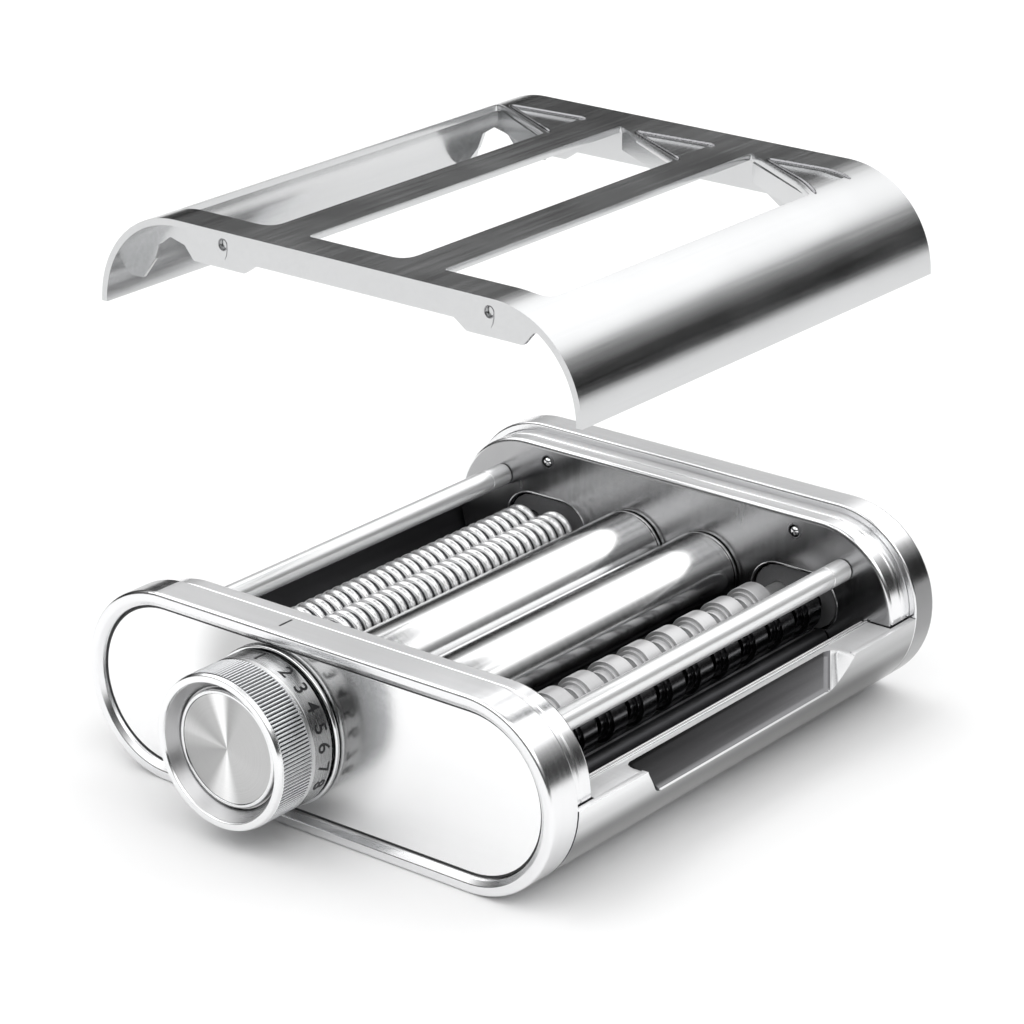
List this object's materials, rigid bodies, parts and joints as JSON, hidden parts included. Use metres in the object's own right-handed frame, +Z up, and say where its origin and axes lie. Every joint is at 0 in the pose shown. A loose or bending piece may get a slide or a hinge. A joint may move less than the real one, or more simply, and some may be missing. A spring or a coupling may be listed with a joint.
{
  "type": "pasta roller machine",
  "caption": "Flat steel pasta roller with smooth, spaghetti and fettuccine roller pairs side by side, a thickness dial in front, a rear drive shank and a lift-off slotted cover",
  "frame": {"origin": "centre of the footprint of the whole object's bounding box, on the surface it stands on", "axes": "X runs across the rollers, Y runs along them from the knob at the front to the drive shank at the rear, Z is up"},
  "size_m": [0.174, 0.2504, 0.17],
  "materials": {
    "polished_steel": "mirror-polished stainless steel",
    "satin_steel": "fine satin stainless steel",
    "dark_steel": "polished stainless steel in deep shade, slightly smoked",
    "gear_steel": "oiled machined steel",
    "bronze": "sintered bronze",
    "bearing_plastic": "moulded dark grey plastic"
  },
  "bodies": {
    "housing": {"cap_screw_1": "satin_steel", "cap_screw_2": "satin_steel", "cap_screw_3": "satin_steel", "cap_screw_4": "satin_steel", "drive_hub": "satin_steel", "fettuccine_bearing_front": "bearing_plastic", "fettuccine_bearing_rear": "bearing_plastic", "fettuccine_scraper_inner": "dark_steel", "fettuccine_scraper_outer": "dark_steel", "fixed_bush_front": "bronze", "fixed_bush_rear": "bronze", "front_panel": "polished_steel", "front_plate": "dark_steel", "front_ring": "polished_steel", "knob_base_ring": "polished_steel", "lower_shell": "polished_steel", "lower_tie_rod_left": "polished_steel", "lower_tie_rod_right": "polished_steel", "rear_cap": "polished_steel", "rear_plate": "dark_steel", "smooth_scraper_left": "dark_steel", "smooth_scraper_right": "dark_steel", "spaghetti_bearing_front": "bearing_plastic", "spaghetti_bearing_rear": "bearing_plastic", "spaghetti_scraper_inner": "dark_steel", "spaghetti_scraper_outer": "dark_steel", "upper_tie_rod_left": "polished_steel", "upper_tie_rod_right": "polished_steel"},
    "drive": {"fixed_smooth_roller": "polished_steel", "drive_shaft": "satin_steel", "drive_gear": "gear_steel"},
    "carriage": {"front_bearing_block": "satin_steel", "rear_bearing_block": "satin_steel", "carriage_bar": "satin_steel", "cam_follower_pin": "satin_steel"},
    "adjustable_roller": {"adjustable_smooth_roller": "polished_steel", "adjustable_roller_gear": "gear_steel"},
    "spaghetti_outer": {"spaghetti_roller_outer": "polished_steel", "spaghetti_gear_outer": "gear_steel"},
    "spaghetti_inner": {"spaghetti_roller_inner": "polished_steel", "spaghetti_gear_inner": "gear_steel", "spaghetti_drive_gear": "gear_steel"},
    "fettuccine_inner": {"fettuccine_roller_inner": "satin_steel", "fettuccine_gear_inner": "gear_steel", "fettuccine_drive_gear": "gear_steel"},
    "fettuccine_outer": {"fettuccine_roller_outer": "satin_steel", "fettuccine_gear_outer": "gear_steel"},
    "dial": {"dial_drum": "satin_steel", "adjuster_spindle": "satin_steel", "thickness_cam": "gear_steel", "knob_spring": "gear_steel"},
    "knob": {"knob_grip": "polished_steel", "knob_cap": "satin_steel", "index_pin": "satin_steel"},
    "cover": {"cover": "satin_steel"},
    "ball_front_left": {"detent_ball_front_left": "satin_steel"},
    "ball_front_right": {"detent_ball_front_right": "satin_steel"},
    "ball_rear_left": {"detent_ball_rear_left": "satin_steel"},
    "ball_rear_right": {"detent_ball_rear_right": "satin_steel"}
  },
  "joints": [
    {"name": "drive_spin", "type": "hinge", "parent": "housing", "child": "drive", "pos_m": [0.0145, -0.00675, 0.03], "axis": [0, 1, 0], "continuous": true},
    {"name": "spaghetti_inner_spin", "type": "hinge", "parent": "housing", "child": "spaghetti_inner", "pos_m": [-0.0423, -0.00675, 0.03], "axis": [0, 1, 0], "continuous": true},
    {"name": "spaghetti_outer_spin", "type": "hinge", "parent": "housing", "child": "spaghetti_outer", "pos_m": [-0.0547, -0.00675, 0.03], "axis": [0, 1, 0], "continuous": true},
    {"name": "fettuccine_inner_spin", "type": "hinge", "parent": "housing", "child": "fettuccine_inner", "pos_m": [0.0423, -0.00675, 0.03], "axis": [0, 1, 0], "continuous": true},
    {"name": "fettuccine_outer_spin", "type": "hinge", "parent": "housing", "child": "fettuccine_outer", "pos_m": [0.0547, -0.00675, 0.03], "axis": [0, 1, 0], "continuous": true},
    {"name": "roller_gap", "type": "slide", "parent": "housing", "child": "carriage", "axis": [1, 0, 0], "range_m": [0, 0.0019]},
    {"name": "adjustable_roller_spin", "type": "hinge", "parent": "carriage", "child": "adjustable_roller", "pos_m": [-0.0145, -0.00675, 0.03], "axis": [0, 1, 0], "continuous": true},
    {"name": "adjust_turn", "type": "hinge", "parent": "housing", "child": "dial", "pos_m": [-0.0145, -0.00675, 0.03], "axis": [0, 1, 0], "range_deg": [-115.7, 0]},
    {"name": "knob_pull", "type": "slide", "parent": "dial", "child": "knob", "axis": [0, -1, 0], "range_m": [0, 0.0025], "stiffness_N_per_m": 900, "springref_m": -0.0015, "deforming": ["knob_spring"]},
    {"name": "cover_lift", "type": "slide", "parent": "housing", "child": "cover", "axis": [0, 0, 1], "range_m": [-0.11, 0]},
    {"name": "detent_front_left", "type": "slide", "parent": "housing", "child": "ball_front_left", "axis": [0, -1, 0], "range_m": [0, 0.0009], "stiffness_N_per_m": 500, "springref_m": -0.0008},
    {"name": "detent_front_right", "type": "slide", "parent": "housing", "child": "ball_front_right", "axis": [0, -1, 0], "range_m": [0, 0.0009], "stiffness_N_per_m": 500, "springref_m": -0.0008},
    {"name": "detent_rear_left", "type": "slide", "parent": "housing", "child": "ball_rear_left", "axis": [0, 1, 0], "range_m": [0, 0.0009], "stiffness_N_per_m": 500, "springref_m": -0.0008},
    {"name": "detent_rear_right", "type": "slide", "parent": "housing", "child": "ball_rear_right", "axis": [0, 1, 0], "range_m": [0, 0.0009], "stiffness_N_per_m": 500, "springref_m": -0.0008}
  ],
  "couplings": [
    {"joint": "adjustable_roller_spin", "follows": "drive_spin", "ratio": -1},
    {"joint": "spaghetti_inner_spin", "follows": "drive_spin", "ratio": 1},
    {"joint": "spaghetti_outer_spin", "follows": "drive_spin", "ratio": -1},
    {"joint": "fettuccine_inner_spin", "follows": "drive_spin", "ratio": -1},
    {"joint": "fettuccine_outer_spin", "follows": "drive_spin", "ratio": 1},
    {"joint": "roller_gap", "follows": "adjust_turn", "m_per_rad": -0.0009409}
  ]
}
